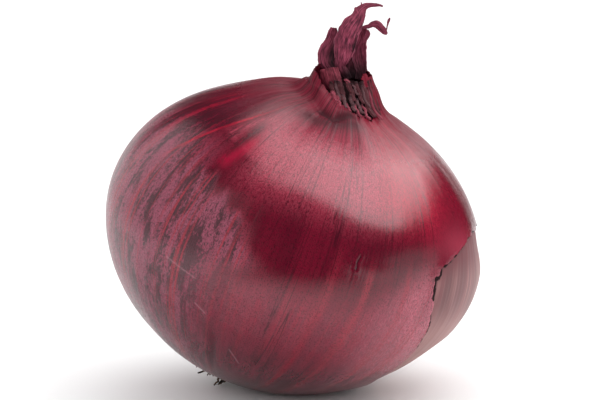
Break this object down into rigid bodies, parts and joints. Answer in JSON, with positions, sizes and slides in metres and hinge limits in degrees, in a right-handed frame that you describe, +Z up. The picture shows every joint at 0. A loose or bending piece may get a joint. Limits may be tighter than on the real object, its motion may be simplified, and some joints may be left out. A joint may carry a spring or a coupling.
{
  "type": "red onion",
  "caption": "Whole red onion resting on its side on a small flat spot, with torn papery outer skin, ribbed neck, withered leaves and a root plate with dry rootlets.",
  "frame": {"origin": "on the table, in the flat spot that the onion rests on, straight below the centre of the bulb", "axes": "+Z up from the table, +X to the right of the view, where the neck leans, and +Y away from it"},
  "size_m": [0.0806, 0.0812, 0.0849],
  "materials": {
    "inner_layer": "satin, mauve with pale lengthwise veins",
    "outer_skin": "glossy papery skin, crimson purple with red veins and grey purple blotches",
    "dry_leaf": "matt, dry and wrinkled",
    "roots": "matt, dry and fibrous"
  },
  "bodies": {
    "root": {"bulb": "inner_layer", "outer_skin": "outer_skin", "root_plate": "roots", "dry_leaf_tall": "dry_leaf", "dry_leaf_left": "dry_leaf", "dry_leaf_right": "dry_leaf"}
  },
  "joints": []
}
